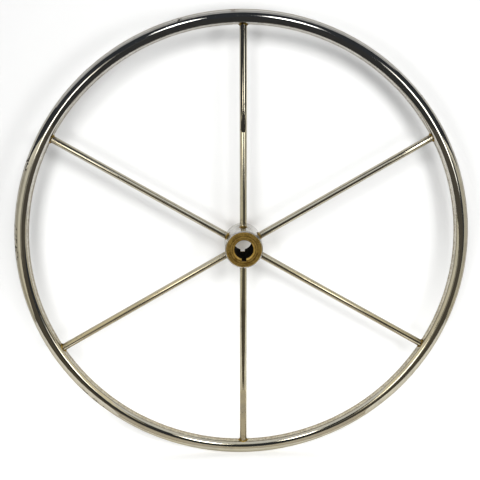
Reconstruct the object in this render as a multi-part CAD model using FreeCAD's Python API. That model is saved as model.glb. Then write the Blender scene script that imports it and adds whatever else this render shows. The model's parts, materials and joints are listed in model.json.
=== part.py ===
import FreeCAD, Part
import math
import os

# Ship steering wheel, in millimetres: a bent tube rim, six straight rod spokes
# and a short turned hub, all brazed together. The origin is the wheel's centre,
# halfway along the hub. The shaft axis is Y, the driver stands on the -Y side,
# and +Z is up, with one spoke straight up and the keyway straight down.

INCH = 25.4

# Rim
rim_radius = 300.0                 # wheel centre to the middle of the tube
tube_diameter = 0.75 * INCH
tube_wall = 1.65
seam_angle = 92.4                  # where the bent tube's ends meet, degrees from +X
seam_width = 1.0
seam_groove = 0.15                 # how far the seam's filler lies below the tube
sleeve_length = 52.0               # the sleeve inside the rim that bridges the seam
sleeve_wall = 1.6

# Spokes
spoke_diameter = 0.375 * INCH
spoke_into_rim = 3.0               # how far a spoke's end stands inside the tube's bore
spoke_angles = {
    "top": 90.0,
    "upper_right": 30.0,
    "lower_right": -30.0,
    "bottom": -90.0,
    "lower_left": -150.0,
    "upper_left": 150.0,
}

# Hub
hub_diameter = 2.0 * INCH
hub_length = 2.25 * INCH
hub_chamfer = 1.6
bore_diameter = 1.0 * INCH
bore_chamfer = 1.6
keyway_width = 0.25 * INCH
keyway_depth = 0.125 * INCH
socket_depth = 0.25 * INCH         # how deep each spoke sits in the hub's wall

# Brazed fillets: each joint was filled by hand, so each has a size of its own
rim_fillets = {
    "top": 3.0,
    "upper_right": 2.7,
    "lower_right": 2.8,
    "bottom": 3.2,
    "lower_left": 2.6,
    "upper_left": 2.9,
}
hub_fillets = {
    "top": 2.4,
    "upper_right": 2.7,
    "lower_right": 2.5,
    "bottom": 2.3,
    "lower_left": 2.4,
    "upper_left": 2.8,
}
fillet_undersize = 0.03            # keeps a fillet's feather edge off its neighbours

# The shapes that a fillet is worked out on reach this far past the joint, in
# fillet sizes: enough to hold the whole fillet
rim_core_reach = 2.0
hub_core_reach = 3.0
rod_reach = 4.0
edge_tolerance = 0.01              # how near the rod's skin a joint's edge lies

tube_radius = tube_diameter / 2
tube_bore_radius = tube_radius - tube_wall
spoke_radius = spoke_diameter / 2
hub_radius = hub_diameter / 2
bore_radius = bore_diameter / 2
socket_radius = hub_radius - socket_depth
spoke_end = rim_radius - tube_bore_radius + spoke_into_rim

CENTRE = FreeCAD.Vector(0, 0, 0)
ALONG_X = FreeCAD.Vector(1, 0, 0)
ALONG_Y = FreeCAD.Vector(0, 1, 0)
ALONG_Z = FreeCAD.Vector(0, 0, 1)
TURN = FreeCAD.Vector(0, -1, 0)    # angles grow anticlockwise, seen by the driver


def save(name, shape):
    """Write one piece as a STEP file of its own."""
    if not shape.isValid() or len(shape.Solids) != 1:
        raise ValueError(name + " is not one valid solid")
    shape.Solids[0].exportStep("parts/" + name + ".step")
    print(name, round(shape.Volume, 1), "mm3")


def turned(shape, angle):
    """Copy a shape that lies along +X to a place at this angle round the wheel."""
    copy = shape.copy()
    copy.rotate(CENTRE, TURN, angle)
    return copy


def bent_bar(radius, start, sweep):
    """A round bar bent along the rim's centre line, over part of the circle."""
    middle = FreeCAD.Vector(rim_radius, 0, 0)
    section = Part.Face(Part.Wire(Part.makeCircle(radius, middle, ALONG_Z)))
    return turned(section.revolve(CENTRE, TURN, sweep), start)


def bent_tube(outer_radius, inner_radius, start, sweep):
    """A tube bent the same way."""
    return bent_bar(outer_radius, start, sweep).cut(bent_bar(inner_radius, start, sweep))


def arc_angle(length):
    """Angle that a length along the rim's centre line takes up."""
    return math.degrees(length / rim_radius)


def make_spoke():
    """A plain round rod, from its socket in the hub to the inside of the rim."""
    start = FreeCAD.Vector(socket_radius, 0, 0)
    return Part.makeCylinder(spoke_radius, spoke_end - socket_radius, start, ALONG_X)


def drilled(shape, spoke):
    """Cut the six spoke holes into a rim or hub piece."""
    rods = [turned(spoke, angle) for angle in spoke_angles.values()]
    return shape.cut(rods)


def make_rim_tube(spoke):
    """One tube bent into a ring, open at the seam and drilled for the spokes."""
    gap = arc_angle(seam_width)
    ring = bent_tube(tube_radius, tube_bore_radius, seam_angle + gap / 2, 360 - gap)
    return drilled(ring, spoke)


def make_seam_braze():
    """The thin ring of filler between the tube's two ends."""
    gap = arc_angle(seam_width)
    return bent_tube(tube_radius - seam_groove, tube_bore_radius, seam_angle - gap / 2, gap)


def make_sleeve(spoke):
    """The short bent sleeve that lines up the tube's ends, drilled for the top spoke."""
    sweep = arc_angle(sleeve_length)
    bore = tube_bore_radius - sleeve_wall
    return drilled(bent_tube(tube_bore_radius, bore, seam_angle - sweep / 2, sweep), spoke)


def make_hub(spoke):
    """A turned barrel with a keyed through bore and six blind spoke sockets."""
    half = hub_length / 2
    profile = [
        (bore_radius, -half + bore_chamfer),
        (bore_radius + bore_chamfer, -half),
        (hub_radius - hub_chamfer, -half),
        (hub_radius, -half + hub_chamfer),
        (hub_radius, half - hub_chamfer),
        (hub_radius - hub_chamfer, half),
        (bore_radius + bore_chamfer, half),
        (bore_radius, half - bore_chamfer),
    ]
    points = [FreeCAD.Vector(radius, y, 0) for radius, y in profile]
    outline = Part.makePolygon(points + points[:1])
    barrel = Part.Face(outline).revolve(CENTRE, ALONG_Y, 360)
    keyway_bottom = bore_radius + keyway_depth
    corner = FreeCAD.Vector(-keyway_width / 2, -half, -keyway_bottom)
    keyway = Part.makeBox(keyway_width, hub_length, keyway_bottom, corner)
    return drilled(barrel.cut(keyway), spoke)


def make_rim_fillet(size):
    """The collar of filler where a spoke meets the rim, on the rim's inner side."""
    reach = arc_angle(2 * (spoke_radius + rim_core_reach * size))
    rim_core = bent_bar(tube_radius - fillet_undersize, -reach / 2, reach)
    rod_start = FreeCAD.Vector(rim_radius - tube_radius - rod_reach * size, 0, 0)
    rod = Part.makeCylinder(
        spoke_radius - fillet_undersize, rim_radius - rod_start.x, rod_start, ALONG_X
    )
    rim_local = bent_bar(tube_radius, -reach, 2 * reach)
    return fillet_collar(rim_core, rod, rim_local, size)


def make_hub_fillet(size):
    """The collar of filler where a spoke leaves the hub's barrel."""
    half = spoke_radius + hub_core_reach * size
    bottom = FreeCAD.Vector(0, -half, 0)
    hub_core = Part.makeCylinder(hub_radius - fillet_undersize, 2 * half, bottom, ALONG_Y)
    rod = Part.makeCylinder(
        spoke_radius - fillet_undersize, hub_radius + rod_reach * size, CENTRE, ALONG_X
    )
    hub_local = Part.makeCylinder(hub_radius, 4 * half, bottom * 2, ALONG_Y)
    return fillet_collar(hub_core, rod, hub_local, size)


def fillet_collar(core, rod, neighbour, size):
    """Round the corner between a rod and the piece it enters, and keep only the filler."""
    joined = core.fuse(rod)
    corner = [edge for edge in joined.Edges if is_joint_edge(edge)]
    filled = joined.makeFillet(size, corner)
    spoke = Part.makeCylinder(spoke_radius, 2 * rim_radius, CENTRE, ALONG_X)
    return filled.cut([neighbour, spoke])


def is_joint_edge(edge):
    """True for the edge where the rod's skin runs into the other piece."""
    radius = spoke_radius - fillet_undersize
    distances = [
        math.hypot(edge.valueAt(place).y, edge.valueAt(place).z)
        for place in edge.ParameterRange
    ]
    middle = edge.valueAt(sum(edge.ParameterRange) / 2)
    distances.append(math.hypot(middle.y, middle.z))
    on_rod = all(abs(distance - radius) < edge_tolerance for distance in distances)
    straight = isinstance(edge.Curve, (Part.Line, Part.Circle))
    return on_rod and not straight


def main():
    os.makedirs("parts", exist_ok=True)
    spoke = make_spoke()
    save("rim_tube", make_rim_tube(spoke))
    save("rim_seam_braze", make_seam_braze())
    save("rim_seam_sleeve", make_sleeve(spoke))
    save("hub", make_hub(spoke))
    for place, angle in spoke_angles.items():
        save("spoke_" + place, turned(spoke, angle))
        save("rim_fillet_" + place, turned(make_rim_fillet(rim_fillets[place]), angle))
        save("hub_fillet_" + place, turned(make_hub_fillet(hub_fillets[place]), angle))


main()
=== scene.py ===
import json
import math

import bpy
from mathutils import Matrix, Vector

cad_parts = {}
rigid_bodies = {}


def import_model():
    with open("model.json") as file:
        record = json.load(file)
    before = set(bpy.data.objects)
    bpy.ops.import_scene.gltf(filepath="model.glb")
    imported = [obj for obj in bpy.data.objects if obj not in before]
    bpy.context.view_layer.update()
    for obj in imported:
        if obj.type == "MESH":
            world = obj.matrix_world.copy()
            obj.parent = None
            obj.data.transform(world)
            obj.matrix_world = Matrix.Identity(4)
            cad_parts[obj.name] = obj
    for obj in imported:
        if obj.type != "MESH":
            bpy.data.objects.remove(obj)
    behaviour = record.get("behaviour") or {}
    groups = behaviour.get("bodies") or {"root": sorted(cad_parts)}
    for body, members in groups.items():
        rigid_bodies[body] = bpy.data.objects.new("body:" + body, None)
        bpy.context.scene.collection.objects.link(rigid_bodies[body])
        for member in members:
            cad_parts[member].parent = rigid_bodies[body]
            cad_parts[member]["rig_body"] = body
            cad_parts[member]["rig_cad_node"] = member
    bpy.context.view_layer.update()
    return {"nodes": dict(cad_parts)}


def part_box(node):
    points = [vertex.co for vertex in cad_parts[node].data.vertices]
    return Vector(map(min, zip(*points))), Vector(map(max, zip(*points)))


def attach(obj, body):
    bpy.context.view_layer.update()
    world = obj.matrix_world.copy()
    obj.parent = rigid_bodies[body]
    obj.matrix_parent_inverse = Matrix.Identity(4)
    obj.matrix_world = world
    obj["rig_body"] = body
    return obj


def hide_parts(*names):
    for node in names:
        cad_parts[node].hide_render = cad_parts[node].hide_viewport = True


bl_info = {
    "name": "Brazed steering wheel",
    "version": (1, 0, 0),
    "blender": (4, 5, 0),
    "location": "3D View > Sidebar > Wheel",
    "description": "Finishes a plated, brazed boat steering wheel and sets its stage",
    "category": "Object",
}

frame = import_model()

# ---------------------------------------------------------------- measures

MM = 0.001
# Each spoke's place, and its angle in degrees from +X towards +Z
SPOKES = {"top": 90, "upper_right": 30, "lower_right": -30,
          "bottom": -90, "lower_left": -150, "upper_left": 150}

RIM_LOW, RIM_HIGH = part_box("rim_tube")
TUBE_RADIUS = RIM_HIGH.y
RING_RADIUS = RIM_HIGH.x - TUBE_RADIUS
RIM_INSIDE = RING_RADIUS - TUBE_RADIUS
HUB_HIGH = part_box("hub")[1]
HUB_RADIUS = HUB_HIGH.x
HUB_HALF = HUB_HIGH.y
SPOKE_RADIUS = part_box("spoke_top")[1].x
SEAM_LOW, SEAM_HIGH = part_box("rim_seam_braze")
CHAMFER = 1.6 * MM
FLOOR_Z = RIM_LOW.z


def linear(hex_colour):
    """Turn an sRGB hex colour into the linear values that sockets take."""
    channels = [int(hex_colour[i:i + 2], 16) / 255 for i in (1, 3, 5)]
    return tuple(
        c / 12.92 if c <= 0.04045 else ((c + 0.055) / 1.055) ** 2.4 for c in channels
    )


def colour_prop(name, description, hex_colour):
    """A colour that a user can change in the sidebar."""
    return bpy.props.FloatVectorProperty(
        name=name, description=description, default=linear(hex_colour),
        subtype="COLOR", size=3, min=0.0, max=1.0,
    )


def size_prop(name, description, millimetres):
    """A length that a user can change in the sidebar."""
    return bpy.props.FloatProperty(
        name=name, description=description, default=millimetres * MM,
        unit="LENGTH", subtype="DISTANCE", min=0.0, precision=5,
    )


def number_prop(name, description, value, top=10.0):
    """A plain number that a user can change in the sidebar."""
    return bpy.props.FloatProperty(
        name=name, description=description, default=value, min=0.0, max=top
    )


# ---------------------------------------------------------------- properties

class WheelPlatingProps(bpy.types.PropertyGroup):
    """The bright plating on the rim, the spokes and the hub's barrel."""

    clear: colour_prop("Clear plating", "Where the plating is still bright", "#C3C1BC")
    # Warm plating: mixed in more towards the bottom of the wheel, in soft patches
    warm: colour_prop("Warm plating", "Where age has yellowed the plating", "#C0B79C")
    film: colour_prop("Clouded film", "Thin grey film in patches", "#97938A")
    edge: colour_prop("Edge", "What the dulled plating gives at a low angle", "#9C9484")
    stain: colour_prop("Stain", "Brown stain beside the brazed joints", "#5A4630")
    pit: colour_prop("Pits", "Corroded pits through to the metal below", "#1E1A15")
    cloud_size: size_prop("Cloud size", "How wide a clouded patch is", 28.0)
    pit_spacing: size_prop("Pit spacing", "Mean distance between pits", 3.0)
    wave_depth: size_prop("Waviness", "How deep the buffed surface waves", 0.13)


class WheelBrassProps(bpy.types.PropertyGroup):
    """The hub's bare ends and bore, the sleeve and the brazed joints."""

    brass: colour_prop("Brass", "Turned brass, browned with age", "#E4BE68")
    brass_dark: colour_prop("Tarnish", "Tarnish in the turning marks", "#80642F")
    # Bore: painted shade, near black, for the shade deep inside the bore
    bore: colour_prop("Bore", "Dried grease and oxide in the bore", "#0C0906")
    braze: colour_prop("Braze", "Golden filler at the joints", "#8C7236")
    braze_dark: colour_prop("Scale", "Dark flux scale left on the filler", "#20160C")
    ring_spacing: size_prop("Turning marks", "Distance between turning marks", 2.2)
    lump_height: size_prop("Lumps", "How far the filler's lumps stand up", 0.45)
    lump_size: size_prop("Lump size", "How wide one lump of filler is", 3.5)


class WheelStageProps(bpy.types.PropertyGroup):
    """The pale sweep, the soft lights, the dim room and the camera."""

    paper: colour_prop("Paper", "The floor and the sweep behind", "#E2E2E1")
    room: colour_prop("Room", "What the metal sees past the cards", "#3B3E43")
    wall_gap: size_prop("Wall", "How far behind the wheel's centre the wall is", 58.0)
    wall_glow: number_prop("Wall glow", "Light that the paper wall gives", 0.0)
    floor_glow: number_prop("Floor glow", "Light that the paper floor gives", 0.40)
    top_light: number_prop("Top light", "Power of the soft light above, W", 0.8, 500)
    side_light: number_prop("Lamps", "Power of the high right lamp, W", 8.4, 500)
    lens: number_prop("Lens", "Focal length in millimetres", 55.72, 500)


# ---------------------------------------------------------------- node helper

def add_node(tree, kind, settings, sockets):
    """Add one node, with its settings, and its inputs as values or as links."""
    node = tree.nodes.new(kind)
    for name, value in settings.items():
        setattr(node, name, value)
    for key, value in sockets.items():
        if isinstance(value, bpy.types.NodeSocket):
            tree.links.new(value, node.inputs[key])
        else:
            node.inputs[key].default_value = value
    return node


def new_material(name):
    """A node material with nothing in it yet, and its node tree."""
    material = bpy.data.materials.new(name)
    material.use_nodes = True
    tree = material.node_tree
    tree.nodes.clear()
    return material, tree


def wheel_radius(tree, place):
    """How far a point is from the wheel's axis."""
    flat = add_node(tree, "ShaderNodeVectorMath", {"operation": "MULTIPLY"},
                    {0: place, 1: (1.0, 0.0, 1.0)}).outputs["Vector"]
    return add_node(tree, "ShaderNodeVectorMath", {"operation": "LENGTH"},
                    {0: flat}).outputs["Value"]


def paint(names, material):
    """Put one material in every slot of these frame nodes."""
    for name in names:
        mesh = frame["nodes"][name].data
        mesh.materials.clear()
        mesh.materials.append(material)


# ---------------------------------------------------------------- plating

# Noise scales, in features to the metre
BUFFING_WAVES = 45.0
WHEEL_MARKS = 600.0
GRIME_SPECKS = 380.0
PIT_PATCHES = 22.0
PIT_RAGS = 700.0

CAST_HEIGHTS = (0.30, -0.25)           # metres up the wheel, from whitest to yellowest
CAST_SPREAD = 0.4                      # cast patches for each clouded patch
FILM_NOISE = (0.50, 0.75)              # the noise from no film to the thickest
FILM_COVER = 0.50                      # how much of the colour the thickest film hides
PIT_RAGGED = 0.9 * MM
PIT_SIZES = (0.15, 0.60)               # a pit's radius, as a share of its cell
PIT_EDGE = (RING_RADIUS + 3.5 * MM, RING_RADIUS + 5 * MM)
# Where the rim is pitted: degrees round the wheel, and how far, in millimetres
PIT_CLUSTERS = ((178, 42), (159, 16), (106, 12), (-135, 32), (40, 8))


def turned_place(angle, radius):
    """The place at this angle round the wheel and this far from its centre."""
    turn = math.radians(angle)
    return (radius * math.cos(turn), 0.0, radius * math.sin(turn))


def yellowed_colour(tree, place, props, low_tint):
    """The plating's colour: yellower low on the wheel, in soft patches."""
    height = add_node(tree, "ShaderNodeSeparateXYZ", {}, {"Vector": place}).outputs["Z"]
    patches = add_node(tree, "ShaderNodeTexNoise", {},
                       {"Vector": place, "Scale": CAST_SPREAD / props.cloud_size,
                        "Detail": 3.0}).outputs["Fac"]
    lowness = add_node(tree, "ShaderNodeMapRange", {},
                       {"Value": height, "From Min": CAST_HEIGHTS[0],
                        "From Max": CAST_HEIGHTS[1], "To Min": low_tint[0],
                        "To Max": low_tint[1]}).outputs["Result"]
    cast = add_node(tree, "ShaderNodeMath",
                    {"operation": "MULTIPLY_ADD", "use_clamp": True},
                    {0: patches, 1: 0.5, 2: lowness}).outputs["Value"]
    return add_node(tree, "ShaderNodeMix", {"data_type": "RGBA"},
                    {0: cast, 6: (*props.clear, 1), 7: (*props.warm, 1)}).outputs[2]


def film_cover(tree, place, props):
    """Where thin grey film clouds the plating."""
    clouds = add_node(tree, "ShaderNodeTexNoise", {},
                      {"Vector": place, "Scale": 1 / props.cloud_size,
                       "Detail": 5.0, "Roughness": 0.6}).outputs["Fac"]
    return add_node(tree, "ShaderNodeMapRange", {},
                    {"Value": clouds, "From Min": FILM_NOISE[0], "From Max": FILM_NOISE[1],
                     "To Min": 0.0, "To Max": FILM_COVER}).outputs["Result"]


def stain_cover(tree, place, radius):
    """Where brown grime lies: at both ends of a spoke, and at the rim's seam."""
    by_hub = add_node(tree, "ShaderNodeMapRange", {},
                      {"Value": radius, "From Min": HUB_RADIUS + 16 * MM,
                       "From Max": HUB_RADIUS + 1 * MM, "To Max": 0.7}).outputs["Result"]
    by_rim = add_node(tree, "ShaderNodeMapRange", {},
                      {"Value": radius, "From Min": RIM_INSIDE - 14 * MM,
                       "From Max": RIM_INSIDE - 2 * MM, "To Max": 0.6}).outputs["Result"]
    off_rim = add_node(tree, "ShaderNodeMapRange", {},
                       {"Value": radius, "From Min": RIM_INSIDE + 2 * MM,
                        "From Max": RIM_INSIDE, "To Max": 1.0}).outputs["Result"]
    by_rim = add_node(tree, "ShaderNodeMath", {"operation": "MULTIPLY"},
                      {0: by_rim, 1: off_rim}).outputs["Value"]
    seam = ((SEAM_LOW.x + SEAM_HIGH.x) / 2, -4 * MM, SEAM_HIGH.z)
    from_seam = add_node(tree, "ShaderNodeVectorMath", {"operation": "DISTANCE"},
                         {0: place, 1: seam}).outputs["Value"]
    by_seam = add_node(tree, "ShaderNodeMapRange", {"interpolation_type": "SMOOTHSTEP"},
                       {"Value": from_seam, "From Min": 9 * MM,
                        "From Max": 2 * MM, "To Max": 0.7}).outputs["Result"]
    near = add_node(tree, "ShaderNodeMath", {"operation": "MAXIMUM"},
                    {0: by_hub, 1: by_rim}).outputs["Value"]
    near = add_node(tree, "ShaderNodeMath", {"operation": "MAXIMUM"},
                    {0: near, 1: by_seam}).outputs["Value"]
    grime = add_node(tree, "ShaderNodeTexNoise", {},
                     {"Vector": place, "Scale": GRIME_SPECKS, "Detail": 3.0}).outputs["Fac"]
    grime = add_node(tree, "ShaderNodeMapRange", {},
                     {"Value": grime, "From Min": 0.35, "From Max": 0.65}).outputs["Result"]
    return add_node(tree, "ShaderNodeMath", {"operation": "MULTIPLY"},
                    {0: near, 1: grime}).outputs["Value"]


def pit_strength(tree, place, radius, in_clusters):
    """How large the pits are from place to place: the rim's are in clusters at its
    outer edge, and the spokes' are thinly spread."""
    patches = add_node(tree, "ShaderNodeTexNoise", {},
                       {"Vector": place, "Scale": PIT_PATCHES,
                        "Detail": 2.0}).outputs["Fac"]
    where = add_node(tree, "ShaderNodeMapRange", {},
                     {"Value": patches, "From Min": 0.52,
                      "From Max": 0.60}).outputs["Result"]
    where = add_node(tree, "ShaderNodeMath", {"operation": "MULTIPLY"},
                     {0: where, 1: 0.3 if in_clusters else 0.4}).outputs["Value"]
    if not in_clusters:
        return where
    for angle, reach in PIT_CLUSTERS:
        centre = turned_place(angle, RING_RADIUS + TUBE_RADIUS * 0.8)
        away = add_node(tree, "ShaderNodeVectorMath", {"operation": "DISTANCE"},
                        {0: place, 1: centre}).outputs["Value"]
        cluster = add_node(tree, "ShaderNodeMapRange", {},
                           {"Value": away, "From Min": reach * MM,
                            "From Max": 0.7 * reach * MM}).outputs["Result"]
        where = add_node(tree, "ShaderNodeMath", {"operation": "MAXIMUM"},
                         {0: where, 1: cluster}).outputs["Value"]
    outer = add_node(tree, "ShaderNodeMapRange", {},
                     {"Value": radius, "From Min": PIT_EDGE[0],
                      "From Max": PIT_EDGE[1]}).outputs["Result"]
    return add_node(tree, "ShaderNodeMath", {"operation": "MULTIPLY"},
                    {0: where, 1: outer}).outputs["Value"]


def pit_cover(tree, place, strength, props):
    """The pits themselves: ragged spots in the middle of cells, each its own size."""
    ragged = add_node(tree, "ShaderNodeTexNoise", {},
                      {"Vector": place, "Scale": PIT_RAGS, "Detail": 2.0}).outputs["Color"]
    ragged = add_node(tree, "ShaderNodeVectorMath", {"operation": "MULTIPLY_ADD"},
                      {0: ragged, 1: (PIT_RAGGED, PIT_RAGGED, PIT_RAGGED),
                       2: place}).outputs["Vector"]
    cells = add_node(tree, "ShaderNodeTexVoronoi", {"feature": "F1"},
                     {"Vector": ragged, "Scale": 1 / props.pit_spacing}).outputs
    chance = add_node(tree, "ShaderNodeSeparateXYZ", {},
                      {"Vector": cells["Color"]}).outputs["X"]
    size = add_node(tree, "ShaderNodeMapRange", {},
                    {"Value": chance, "From Min": 0.0, "From Max": 1.0,
                     "To Min": PIT_SIZES[0], "To Max": PIT_SIZES[1]}).outputs["Result"]
    size = add_node(tree, "ShaderNodeMath", {"operation": "MULTIPLY"},
                    {0: size, 1: strength}).outputs["Value"]
    return add_node(tree, "ShaderNodeMath", {"operation": "LESS_THAN"},
                    {0: cells["Distance"], 1: size}).outputs["Value"]


def plated_relief(tree, place, pits, props):
    """Long buffing waves, fine wheel marks and hollow pits, as one normal."""
    waves = add_node(tree, "ShaderNodeTexNoise", {},
                     {"Vector": place, "Scale": BUFFING_WAVES,
                      "Detail": 1.0}).outputs["Fac"]
    wavy = add_node(tree, "ShaderNodeBump", {},
                    {"Strength": 1.0, "Distance": props.wave_depth,
                     "Height": waves}).outputs["Normal"]
    marks = add_node(tree, "ShaderNodeTexNoise", {},
                     {"Vector": place, "Scale": WHEEL_MARKS, "Detail": 2.0}).outputs["Fac"]
    marked = add_node(tree, "ShaderNodeBump", {},
                      {"Strength": 0.35, "Distance": 0.03 * MM, "Height": marks,
                       "Normal": wavy}).outputs["Normal"]
    return add_node(tree, "ShaderNodeBump", {"invert": True},
                    {"Strength": 0.6, "Distance": 0.2 * MM, "Height": pits,
                     "Normal": marked}).outputs["Normal"]


def plating_material(name, props, low_tint, in_clusters):
    """Aged bright nickel, buffed by hand: clear mirror patches, thin grey film,
    a yellow cast low down, brown stain beside the joints, and pits."""
    material, tree = new_material(name)
    place = add_node(tree, "ShaderNodeTexCoord", {}, {}).outputs["Object"]
    radius = wheel_radius(tree, place)
    film = film_cover(tree, place, props)
    stain = stain_cover(tree, place, radius)
    pits = pit_cover(tree, place, pit_strength(tree, place, radius, in_clusters), props)

    colour = yellowed_colour(tree, place, props, low_tint)
    for cover, over in ((film, props.film), (stain, props.stain), (pits, props.pit)):
        colour = add_node(tree, "ShaderNodeMix", {"data_type": "RGBA"},
                          {0: cover, 6: colour, 7: (*over, 1)}).outputs[2]

    # Polish: nearly a mirror, hazier under the film and dull in stain and pits
    haze = add_node(tree, "ShaderNodeMath", {"operation": "MULTIPLY_ADD"},
                    {0: film, 1: 0.22, 2: 0.055}).outputs["Value"]
    haze = add_node(tree, "ShaderNodeMath", {"operation": "MULTIPLY_ADD"},
                    {0: stain, 1: 0.30, 2: haze}).outputs["Value"]
    haze = add_node(tree, "ShaderNodeMath",
                    {"operation": "MULTIPLY_ADD", "use_clamp": True},
                    {0: pits, 1: 0.4, 2: haze}).outputs["Value"]
    shader = add_node(tree, "ShaderNodeBsdfPrincipled", {},
                      {"Base Color": colour, "Metallic": 1.0, "Roughness": haze,
                       "Specular Tint": (*props.edge, 1),
                       "Normal": plated_relief(tree, place, pits, props)})
    add_node(tree, "ShaderNodeOutputMaterial", {}, {"Surface": shader.outputs["BSDF"]})
    return material


class WHEEL_OT_plate_rim(bpy.types.Operator):
    """Give the rim and its filled seam their bright, pitted plating"""
    bl_idname = "wheel.plate_rim"
    bl_label = "Plate the rim"

    def execute(self, context):
        props = context.scene.wheel_plating
        material = plating_material("aged_nickel_plate_rim", props, (-0.35, 0.45), True)
        paint(["rim_tube", "rim_seam_braze"], material)
        return {"FINISHED"}


class WHEEL_OT_plate_spokes(bpy.types.Operator):
    """Give the six spokes their warmer plating"""
    bl_idname = "wheel.plate_spokes"
    bl_label = "Plate the spokes"

    def execute(self, context):
        props = context.scene.wheel_plating
        material = plating_material("aged_nickel_plate_spokes", props, (0.25, 0.75), False)
        paint(["spoke_" + place for place in SPOKES], material)
        return {"FINISHED"}


# ---------------------------------------------------------------- hub

HUB_BLOTCHES = 160.0                   # noise scales, in features to the metre
HUB_CLOUDS = 90.0
# Distances from the axis, each from none to all: bare metal, and the bore's painted shade
BARE_RADII = (HUB_RADIUS - 2 * MM, HUB_RADIUS - 3 * MM)
BORE_SHADE_RADII = (HUB_RADIUS - 4 * MM, HUB_RADIUS - 5 * MM)
# Distances along the axis, each from none to all: bare ends, and the bore's painted shade
END_LENGTHS = (HUB_HALF - CHAMFER * 0.15, HUB_HALF - CHAMFER * 0.02)
BORE_SHADE_LENGTHS = (HUB_HALF - CHAMFER, HUB_HALF - CHAMFER * 1.7)


def hub_zones(tree, place, radius):
    """Two covers: where the hub is bare metal, and the bore, where shade is painted in."""
    depth = add_node(tree, "ShaderNodeSeparateXYZ", {}, {"Vector": place}).outputs["Y"]
    along = add_node(tree, "ShaderNodeMath", {"operation": "ABSOLUTE"},
                     {0: depth}).outputs["Value"]
    on_end = add_node(tree, "ShaderNodeMapRange", {},
                      {"Value": along, "From Min": END_LENGTHS[0],
                       "From Max": END_LENGTHS[1]}).outputs["Result"]
    within = add_node(tree, "ShaderNodeMapRange", {},
                      {"Value": radius, "From Min": BARE_RADII[0],
                       "From Max": BARE_RADII[1]}).outputs["Result"]
    bare = add_node(tree, "ShaderNodeMath", {"operation": "MAXIMUM"},
                    {0: on_end, 1: within}).outputs["Value"]
    near_axis = add_node(tree, "ShaderNodeMapRange", {},
                         {"Value": radius, "From Min": BORE_SHADE_RADII[0],
                          "From Max": BORE_SHADE_RADII[1]}).outputs["Result"]
    inside = add_node(tree, "ShaderNodeMapRange", {},
                      {"Value": along, "From Min": BORE_SHADE_LENGTHS[0],
                       "From Max": BORE_SHADE_LENGTHS[1]}).outputs["Result"]
    bore_shade = add_node(tree, "ShaderNodeMath", {"operation": "MULTIPLY"},
                       {0: near_axis, 1: inside}).outputs["Value"]
    return bare, bore_shade


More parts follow.
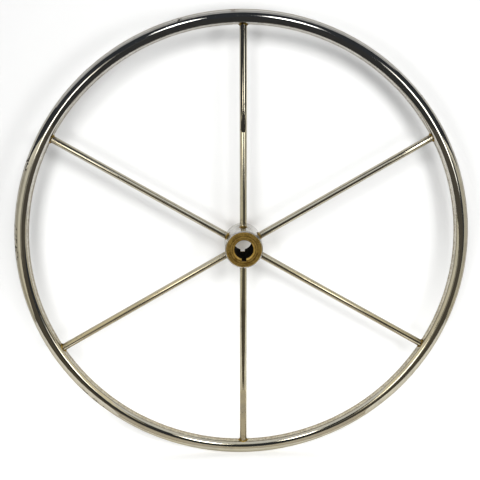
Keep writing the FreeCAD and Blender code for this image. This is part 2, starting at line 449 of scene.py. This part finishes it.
def hub_material(plating, brass):
    """A turned brass hub: cloudy plate left on the barrel, bare browned brass with ring
    marks on its ends, and a bore painted near black and dull as shade."""
    material, tree = new_material("turned_brass_hub")
    place = add_node(tree, "ShaderNodeTexCoord", {}, {}).outputs["Object"]
    radius = wheel_radius(tree, place)
    bare, bore_shade = hub_zones(tree, place, radius)

    # Turning marks: rings that depend only on the distance from the axis
    ring_place = add_node(tree, "ShaderNodeCombineXYZ", {}, {"X": radius}).outputs["Vector"]
    rings = add_node(tree, "ShaderNodeTexNoise", {},
                     {"Vector": ring_place, "Scale": 1 / brass.ring_spacing,
                      "Detail": 3.0}).outputs["Fac"]
    blotches = add_node(tree, "ShaderNodeTexNoise", {},
                        {"Vector": place, "Scale": HUB_BLOTCHES, "Detail": 5.0,
                         "Roughness": 0.65}).outputs["Fac"]

    # Bare brass, browned in the marks, and nearly black in the bore as painted shade
    tarnish = add_node(tree, "ShaderNodeMath", {"operation": "MULTIPLY_ADD"},
                       {0: rings, 1: 1.6, 2: blotches}).outputs["Value"]
    tarnish = add_node(tree, "ShaderNodeMapRange", {},
                       {"Value": tarnish, "From Min": 1.08,
                        "From Max": 1.48}).outputs["Result"]
    bare_colour = add_node(tree, "ShaderNodeMix", {"data_type": "RGBA"},
                           {0: tarnish, 6: (*brass.brass, 1),
                            7: (*brass.brass_dark, 1)}).outputs[2]
    bare_colour = add_node(tree, "ShaderNodeMix", {"data_type": "RGBA"},
                           {0: bore_shade, 6: bare_colour, 7: (*brass.bore, 1)}).outputs[2]

    # Cloudy plate on the barrel
    clouds = add_node(tree, "ShaderNodeTexNoise", {},
                      {"Vector": place, "Scale": HUB_CLOUDS, "Detail": 5.0}).outputs["Fac"]
    film = add_node(tree, "ShaderNodeMapRange", {},
                    {"Value": clouds, "From Min": 0.40, "From Max": 0.62}).outputs["Result"]
    plate_colour = add_node(tree, "ShaderNodeMix", {"data_type": "RGBA"},
                            {0: film, 6: (*plating.clear, 1),
                             7: (*plating.film, 1)}).outputs[2]
    colour = add_node(tree, "ShaderNodeMix", {"data_type": "RGBA"},
                      {0: bare, 6: plate_colour, 7: bare_colour}).outputs[2]

    # Polish: brightest on the plate, and dull and not metal in the bore, so that its
    # painted shade stays dark
    plate_haze = add_node(tree, "ShaderNodeMapRange", {},
                          {"Value": film, "To Min": 0.10, "To Max": 0.30}).outputs["Result"]
    bare_haze = add_node(tree, "ShaderNodeMapRange", {},
                         {"Value": tarnish, "To Min": 0.30,
                          "To Max": 0.50}).outputs["Result"]
    haze = add_node(tree, "ShaderNodeMix", {"data_type": "FLOAT"},
                    {0: bare, 2: plate_haze, 3: bare_haze}).outputs[0]
    metal = add_node(tree, "ShaderNodeMath", {"operation": "SUBTRACT"},
                     {0: 1.0, 1: bore_shade}).outputs["Value"]
    haze = add_node(tree, "ShaderNodeMath",
                    {"operation": "MULTIPLY_ADD", "use_clamp": True},
                    {0: bore_shade, 1: 0.4, 2: haze}).outputs["Value"]

    # Relief: ring marks on the bare brass, and wear everywhere
    ring_height = add_node(tree, "ShaderNodeMath", {"operation": "MULTIPLY"},
                           {0: rings, 1: bare}).outputs["Value"]
    turned = add_node(tree, "ShaderNodeBump", {},
                      {"Strength": 0.8, "Distance": 0.15 * MM,
                       "Height": ring_height}).outputs["Normal"]
    worn = add_node(tree, "ShaderNodeBump", {},
                    {"Strength": 0.5, "Distance": 0.08 * MM, "Height": blotches,
                     "Normal": turned}).outputs["Normal"]
    # The low specular level keeps the bore's painted shade dark; the rest of the hub is
    # metal
    shader = add_node(tree, "ShaderNodeBsdfPrincipled", {},
                      {"Base Color": colour, "Metallic": metal, "Roughness": haze,
                       "Specular IOR Level": 0.02, "Normal": worn})
    add_node(tree, "ShaderNodeOutputMaterial", {}, {"Surface": shader.outputs["BSDF"]})
    return material


class WHEEL_OT_finish_hub(bpy.types.Operator):
    """Give the hub its plated barrel and its bare, turned ends"""
    bl_idname = "wheel.finish_hub"
    bl_label = "Finish the hub"

    def execute(self, context):
        paint(["hub"], hub_material(context.scene.wheel_plating, context.scene.wheel_brass))
        return {"FINISHED"}


# ---------------------------------------------------------------- braze

BRAZE_GRAIN = 900.0                    # noise scale, in features to the metre
TOUCH = 0.06 * MM                      # nearer than this, a point touches its neighbour
FREE_DEPTH = 0.45 * MM                 # past this, a point can move all the way
MERGE = 0.001 * MM
LUMP_REST = 0.42                       # the cloud value that leaves the skin where it was
SMOOTH_ANGLE = math.radians(50)


def braze_material(name, props, dark_share):
    """Brazing filler: golden where it ran bright, brown with tarnish, and dark in
    glassy specks of flux scale."""
    material, tree = new_material(name)
    place = add_node(tree, "ShaderNodeTexCoord", {}, {}).outputs["Object"]
    blotches = add_node(tree, "ShaderNodeTexNoise", {},
                        {"Vector": place, "Scale": 1 / props.lump_size, "Detail": 4.0,
                         "Roughness": 0.6}).outputs["Fac"]
    scale = add_node(tree, "ShaderNodeMapRange", {},
                     {"Value": blotches, "From Min": 0.62 - dark_share,
                      "From Max": 0.80 - dark_share, "To Max": 0.9}).outputs["Result"]
    colour = add_node(tree, "ShaderNodeMix", {"data_type": "RGBA"},
                      {0: scale, 6: (*props.braze, 1),
                       7: (*props.braze_dark, 1)}).outputs[2]
    haze = add_node(tree, "ShaderNodeMapRange", {},
                    {"Value": scale, "To Min": 0.28, "To Max": 0.62}).outputs["Result"]
    grain = add_node(tree, "ShaderNodeTexNoise", {},
                     {"Vector": place, "Scale": BRAZE_GRAIN, "Detail": 2.0}).outputs["Fac"]
    rough = add_node(tree, "ShaderNodeBump", {},
                     {"Strength": 0.6, "Distance": 0.12 * MM,
                      "Height": grain}).outputs["Normal"]
    shader = add_node(tree, "ShaderNodeBsdfPrincipled", {},
                      {"Base Color": colour, "Metallic": 1.0, "Roughness": haze,
                       "Normal": rough})
    add_node(tree, "ShaderNodeOutputMaterial", {}, {"Surface": shader.outputs["BSDF"]})
    return material


def free_skin(point, axis):
    """How freely this point of a collar can move: 0 where it touches the rod, the rim
    or the hub, and 1 once it is FREE_DEPTH or more away from all three."""
    along = point.dot(axis)
    off_rod = (point - axis * along).length - SPOKE_RADIUS
    ring = Vector((point.x, 0.0, point.z)).normalized() * RING_RADIUS
    off_rim = (point - ring).length - TUBE_RADIUS
    off_hub = math.hypot(point.x, point.z) - HUB_RADIUS
    return max(0.0, min(1.0, (min(off_rod, off_rim, off_hub) - TOUCH) / FREE_DEPTH))


def lumpy_collar(node, angle, height, width, material):
    """A brazed collar as it froze: the frame's smooth collar with a lumpy skin."""
    collar = frame["nodes"][node].copy()
    collar.data = frame["nodes"][node].data.copy()
    collar.name = "brazed_" + node
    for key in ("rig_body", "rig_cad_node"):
        del collar[key]
    collar.parent = None
    bpy.context.scene.collection.objects.link(collar)
    bpy.ops.object.select_all(action="DESELECT")
    collar.select_set(True)
    bpy.context.view_layer.objects.active = collar
    bpy.ops.object.mode_set(mode="EDIT")
    bpy.ops.mesh.select_all(action="SELECT")
    bpy.ops.mesh.customdata_custom_splitnormals_clear()
    bpy.ops.mesh.remove_doubles(threshold=MERGE)
    bpy.ops.object.mode_set(mode="OBJECT")

    axis = Vector(turned_place(angle, 1.0))
    skin = collar.vertex_groups.new(name="free_skin")
    for vertex in collar.data.vertices:
        skin.add([vertex.index], free_skin(vertex.co, axis), "REPLACE")
    lumps = bpy.data.textures.new("lumps", "CLOUDS")
    lumps.noise_scale = width
    lumps.noise_depth = 2
    push = collar.modifiers.new("lumps", "DISPLACE")
    push.texture = lumps
    push.texture_coords = "LOCAL"
    push.vertex_group = "free_skin"
    push.mid_level = LUMP_REST
    push.strength = height * 2
    bpy.ops.object.modifier_apply(modifier="lumps")
    collar.vertex_groups.clear()
    bpy.ops.object.shade_smooth_by_angle(angle=SMOOTH_ANGLE)
    collar.data.materials.clear()
    collar.data.materials.append(material)
    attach(collar, "root")
    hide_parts(node)
    return collar


class WHEEL_OT_finish_braze(bpy.types.Operator):
    """Make the twelve lumpy brazed collars and give them their filler"""
    bl_idname = "wheel.finish_braze"
    bl_label = "Finish the brazed joints"

    def execute(self, context):
        props = context.scene.wheel_brass
        filler = braze_material("tarnished_braze_filler", props, 0.17)
        for place, angle in SPOKES.items():
            for end in ("rim_fillet_", "hub_fillet_"):
                lumpy_collar(end + place, angle, props.lump_height, props.lump_size,
                             filler)
        return {"FINISHED"}


# ---------------------------------------------------------------- sleeve

class WHEEL_OT_finish_sleeve(bpy.types.Operator):
    """Give the sleeve inside the rim its plain drawn brass"""
    bl_idname = "wheel.finish_sleeve"
    bl_label = "Finish the sleeve"

    def execute(self, context):
        props = context.scene.wheel_brass
        paint(["rim_seam_sleeve"], braze_material("drawn_brass_sleeve", props, -0.1))
        return {"FINISHED"}


# ---------------------------------------------------------------- stage

# The camera's place in metres, the way it looks, and which way is up in its view
CAMERA_PLACE = (-0.0365, -0.9887, 0.2345)
CAMERA_FORWARD = (0.0316, 0.974, -0.2241)
CAMERA_UP = (0.008, 0.224, 0.9746)
SENSOR_WIDTH = 36.0
SWEEP_WIDTH = 2.6
SWEEP_HEIGHT = 1.25
SWEEP_BEND = 0.045
ON_PLANE = 1 * MM                      # nearer than this, a corner is on a plane
GLOW_TOP = 0.06                        # above this height only the wall's glow is left
BORDER_START, BORDER_END = 0.60, 1.20  # where the paper fades into the white around it
LAMP_CORE, LAMP_EDGE = 0.1, 0.5        # a lamp fades between these shares of its width

LEFT, RIGHT, UP, DOWN, BACK = (-1, 0, 0), (1, 0, 0), (0, 0, 1), (0, 0, -1), (0, 1, 0)
# What the metal sees: name, centre, size, facing, up, colour, strength
CARDS = (
    ("left_near", (-0.60, -0.10, -0.08), (0.30, 0.46), RIGHT, UP, "#FFFAE8", 0.52),
    ("left_far", (-0.60, -0.75, -0.08), (1.00, 0.46), RIGHT, UP, "#FFFAE8", 0.85),
    ("left_front", (-0.37, -1.30, -0.08), (0.50, 0.46), BACK, UP, "#FFFAE8", 0.34),
    ("right_near", (0.60, -0.16, -0.08), (0.42, 0.46), LEFT, UP, "#FFFAE8", 0.66),
    ("roof_left", (-0.60, -0.56, 0.15), (0.70, 1.0), DOWN, BACK, "#FFFAE8", 1.0),
    ("roof_right", (0.60, -0.56, 0.15), (0.70, 1.0), DOWN, BACK, "#FFFAE8", 1.0),
    ("roof_middle", (0.0, -0.28, 0.15), (0.50, 0.44), DOWN, BACK, "#F4F8FF", 0.95),
    ("roof_top_left", (-0.63, -0.54, 0.152), (0.64, 1.04), UP, BACK, "#FFFFFF", 0.05),
    ("roof_top", (0.01, -0.54, 0.152), (0.50, 1.04), UP, BACK, "#FFFFFF", 0.05),
    ("roof_top_right", (0.67, -0.54, 0.152), (0.56, 1.04), UP, BACK, "#FFFFFF", 0.05),
    ("ceiling", (-0.4, 0.48, 1.30), (3.8, 2.04), DOWN, BACK, "#FFFFFF", 0.58),
    ("near_floor", (0.0, -0.12, FLOOR_Z + 0.3 * MM), (0.42, 0.20), UP, BACK,
     "#F6F0E6", 0.74),
    ("dark_floor", (0.0, -1.22, FLOOR_Z + 1 * MM), (1.6, 2.0), UP, BACK,
     "#FFF4E0", 0.11),
)
# Each lamp is a card that the metal sees and a soft light on the paper, in one place:
# name, centre, card size, facing, card colour, card strength, light width, light share
LAMPS = (
    ("high_left", (-0.28, -1.45, 0.80), (0.32, 0.38), (0.19, 0.88, -0.45),
     "#FFFFFF", 16.0, 0.40, 1.15),
    ("high_right", (0.24, -1.25, 0.62), (0.30, 0.36), (-0.16, 0.88, -0.42),
     "#FFFFFF", 16.0, 0.40, 1.0),
    ("left", (-0.36, -0.97, 0.09), (0.34, 0.36), (0.35, 0.93, 0.0),
     "#FFFAEE", 7.0, 0.25, 0.35),
    ("right", (0.49, -0.83, 0.14), (0.30, 0.52), (-0.5, 0.86, 0.0),
     "#FFFFFA", 7.0, 0.25, 0.33),
)


def stage_plane(name, centre, size, facing, up):
    """A flat sheet of the stage, seen from the side that it faces."""
    forward = Vector(facing).normalized()
    right = Vector(up).cross(forward).normalized()
    turn = Matrix((right, forward.cross(right), forward)).transposed().to_4x4()
    bpy.ops.mesh.primitive_plane_add(size=1)
    sheet = bpy.context.object
    sheet.name = name
    sheet.matrix_world = Matrix.Translation(centre) @ turn @ Matrix.Diagonal((*size, 1, 1))
    return sheet


def reflection_card(name, centre, size, facing, up, colour, strength, is_lamp=False):
    """A sheet that only shows as a reflection in the metal, and only from its front.
    A lamp is round, and fades from its middle to its edge."""
    card = stage_plane(name, centre, size, facing, up)
    material, tree = new_material("card_" + name)
    unseen = add_node(tree, "ShaderNodeNewGeometry", {}, {}).outputs["Backfacing"]
    if is_lamp:
        place = add_node(tree, "ShaderNodeTexCoord", {}, {}).outputs["Object"]
        off_middle = add_node(tree, "ShaderNodeVectorMath", {"operation": "LENGTH"},
                              {0: place}).outputs["Value"]
        strength = add_node(tree, "ShaderNodeMapRange",
                            {"interpolation_type": "SMOOTHSTEP"},
                            {"Value": off_middle, "From Min": LAMP_EDGE,
                             "From Max": LAMP_CORE, "To Max": strength}).outputs["Result"]
        past_edge = add_node(tree, "ShaderNodeMath", {"operation": "GREATER_THAN"},
                             {0: off_middle, 1: LAMP_EDGE}).outputs["Value"]
        unseen = add_node(tree, "ShaderNodeMath", {"operation": "MAXIMUM"},
                          {0: unseen, 1: past_edge}).outputs["Value"]
    else:
        material.cycles.emission_sampling = "NONE"
    glow = add_node(tree, "ShaderNodeEmission", {},
                    {"Color": (*linear(colour), 1),
                     "Strength": strength}).outputs["Emission"]
    clear = add_node(tree, "ShaderNodeBsdfTransparent", {}, {}).outputs["BSDF"]
    both = add_node(tree, "ShaderNodeMixShader", {}, {0: unseen, 1: glow, 2: clear})
    add_node(tree, "ShaderNodeOutputMaterial", {}, {"Surface": both.outputs["Shader"]})
    card.data.materials.append(material)
    card.visible_camera = False
    card.visible_diffuse = False
    card.visible_shadow = False
    card.visible_transmission = False
    return card


def paper_sweep(wall_y):
    """White paper: flat under the wheel, then curved up into a wall behind it."""
    middle = (0, wall_y - SWEEP_WIDTH / 2, FLOOR_Z)
    bpy.ops.mesh.primitive_plane_add(size=SWEEP_WIDTH, location=middle)
    bpy.ops.object.transform_apply(location=True, rotation=True, scale=True)
    sweep = bpy.context.object
    sweep.name = "paper_sweep"
    bpy.ops.object.mode_set(mode="EDIT")
    bpy.ops.mesh.select_all(action="DESELECT")
    bpy.ops.object.mode_set(mode="OBJECT")
    for edge in sweep.data.edges:
        ends = [sweep.data.vertices[v].co for v in edge.vertices]
        edge.select = all(end.y > wall_y - ON_PLANE for end in ends)
    bpy.ops.object.mode_set(mode="EDIT")
    bpy.ops.mesh.select_mode(type="EDGE")
    bpy.ops.mesh.extrude_region_move(TRANSFORM_OT_translate={"value": (0, 0, SWEEP_HEIGHT)})
    bpy.ops.object.mode_set(mode="OBJECT")
    for edge in sweep.data.edges:
        ends = [sweep.data.vertices[v].co for v in edge.vertices]
        edge.select = all(
            end.y > wall_y - ON_PLANE and end.z < FLOOR_Z + ON_PLANE for end in ends
        )
    bpy.ops.object.mode_set(mode="EDIT")
    bpy.ops.mesh.select_mode(type="EDGE")
    bpy.ops.mesh.bevel(offset=SWEEP_BEND, segments=12, affect="EDGES")
    bpy.ops.object.mode_set(mode="OBJECT")
    bpy.ops.object.shade_smooth_by_angle()
    return sweep


def sweep_material(colour, wall_glow, floor_glow):
    """Matt white paper. Its floor glows a little, its border fades into the white
    around it, and from behind it is clear, so that it never hides the wheel."""
    material, tree = new_material("matt_paper")
    matt = add_node(tree, "ShaderNodeBsdfDiffuse", {},
                    {"Color": (*colour, 1)}).outputs["BSDF"]
    place = add_node(tree, "ShaderNodeTexCoord", {}, {}).outputs["Object"]
    height = add_node(tree, "ShaderNodeSeparateXYZ", {}, {"Vector": place}).outputs["Z"]
    strength = add_node(tree, "ShaderNodeMapRange", {"interpolation_type": "SMOOTHSTEP"},
                        {"Value": height, "From Min": GLOW_TOP, "From Max": FLOOR_Z,
                         "To Min": wall_glow, "To Max": floor_glow}).outputs["Result"]
    glow = add_node(tree, "ShaderNodeEmission", {},
                    {"Color": (*colour, 1), "Strength": strength}).outputs["Emission"]
    lit = add_node(tree, "ShaderNodeAddShader", {}, {0: matt, 1: glow}).outputs["Shader"]
    clear = add_node(tree, "ShaderNodeBsdfTransparent", {}, {}).outputs["BSDF"]
    behind = add_node(tree, "ShaderNodeNewGeometry", {}, {}).outputs["Backfacing"]
    away = add_node(tree, "ShaderNodeVectorMath", {"operation": "LENGTH"},
                    {0: place}).outputs["Value"]
    border = add_node(tree, "ShaderNodeMapRange", {"interpolation_type": "SMOOTHSTEP"},
                      {"Value": away, "From Min": BORDER_START,
                       "From Max": BORDER_END}).outputs["Result"]
    unseen = add_node(tree, "ShaderNodeMath", {"operation": "MAXIMUM"},
                      {0: behind, 1: border}).outputs["Value"]
    both = add_node(tree, "ShaderNodeMixShader", {}, {0: unseen, 1: lit, 2: clear})
    add_node(tree, "ShaderNodeOutputMaterial", {}, {"Surface": both.outputs["Shader"]})
    material.cycles.emission_sampling = "NONE"
    return material


def soft_light(name, place, width, power):
    """A large soft light, aimed at the wheel's centre, that shines on the paper but
    doesn't show in the metal."""
    bpy.ops.object.light_add(type="AREA", location=place)
    light = bpy.context.object
    light.name = name
    light.data.shape = "SQUARE"
    light.data.size = width
    light.data.energy = power
    light.rotation_euler = (-Vector(place)).to_track_quat("-Z", "Y").to_euler()
    light.visible_glossy = False
    return light


def studio_world(scene, room):
    """White where the camera looks past the paper, and a dim room for all else."""
    world = bpy.data.worlds.new("studio")
    scene.world = world
    world.use_nodes = True
    tree = world.node_tree
    tree.nodes.clear()
    seen = add_node(tree, "ShaderNodeLightPath", {}, {}).outputs["Is Camera Ray"]
    around = add_node(tree, "ShaderNodeMix", {"data_type": "RGBA"},
                      {0: seen, 6: (*room, 1), 7: (1, 1, 1, 1)}).outputs[2]
    sky = add_node(tree, "ShaderNodeBackground", {}, {"Color": around})
    add_node(tree, "ShaderNodeOutputWorld", {}, {"Surface": sky.outputs["Background"]})
    return world


def studio_camera(scene, lens):
    """The driver's view, a little above the wheel's centre."""
    camera = bpy.data.objects.new("camera", bpy.data.cameras.new("camera"))
    scene.collection.objects.link(camera)
    forward = Vector(CAMERA_FORWARD).normalized()
    right = forward.cross(Vector(CAMERA_UP)).normalized()
    turn = Matrix((right, right.cross(forward), -forward)).transposed().to_4x4()
    camera.matrix_world = Matrix.Translation(CAMERA_PLACE) @ turn
    camera.data.lens = lens
    camera.data.sensor_width = SENSOR_WIDTH
    scene.camera = camera
    return camera


class WHEEL_OT_set_stage(bpy.types.Operator):
    """Build the white sweep, the lights, what the metal reflects, and the camera"""
    bl_idname = "wheel.set_stage"
    bl_label = "Set the stage"

    def execute(self, context):
        scene = context.scene
        props = scene.wheel_stage
        sweep = paper_sweep(props.wall_gap)
        paper = sweep_material(props.paper, props.wall_glow, props.floor_glow)
        sweep.data.materials.append(paper)
        for card in CARDS:
            reflection_card(*card)
        for name, centre, size, facing, colour, strength, width, share in LAMPS:
            reflection_card("lamp_" + name, centre, size, facing, UP, colour, strength,
                            is_lamp=True)
            soft_light("light_" + name, centre, width, share * props.side_light)
        soft_light("light_above", (0.0, -0.45, 1.5), 0.8, props.top_light)
        studio_world(scene, props.room)
        studio_camera(scene, props.lens)
        scene.view_settings.view_transform = "Standard"
        return {"FINISHED"}


# ---------------------------------------------------------------- panel

class WHEEL_PT_panel(bpy.types.Panel):
    """Every step of the wheel's finish, and its colours"""
    bl_idname = "WHEEL_PT_panel"
    bl_label = "Steering wheel"
    bl_space_type = "VIEW_3D"
    bl_region_type = "UI"
    bl_category = "Wheel"

    def draw(self, context):
        for group in GROUPS:
            box = self.layout.box()
            settings = getattr(context.scene, group)
            for name in type(settings).__annotations__:
                box.prop(settings, name)
        for operator in STEPS:
            self.layout.operator(operator.bl_idname)


GROUPS = {
    "wheel_plating": WheelPlatingProps,
    "wheel_brass": WheelBrassProps,
    "wheel_stage": WheelStageProps,
}
STEPS = (
    WHEEL_OT_plate_rim,
    WHEEL_OT_plate_spokes,
    WHEEL_OT_finish_hub,
    WHEEL_OT_finish_braze,
    WHEEL_OT_finish_sleeve,
    WHEEL_OT_set_stage,
)


def register():
    for cls in (*GROUPS.values(), *STEPS, WHEEL_PT_panel):
        bpy.utils.register_class(cls)
    for name, cls in GROUPS.items():
        setattr(bpy.types.Scene, name, bpy.props.PointerProperty(type=cls))


def unregister():
    for name in GROUPS:
        delattr(bpy.types.Scene, name)
    for cls in (WHEEL_PT_panel, *reversed(STEPS), *reversed(list(GROUPS.values()))):
        bpy.utils.unregister_class(cls)


def main():
    register()
    bpy.ops.object.select_all(action="DESELECT")
    bpy.ops.wheel.plate_rim()
    bpy.ops.wheel.plate_spokes()
    bpy.ops.wheel.finish_hub()
    bpy.ops.wheel.finish_braze()
    bpy.ops.wheel.finish_sleeve()
    bpy.ops.wheel.set_stage()


if __name__ == "__main__":
    main()
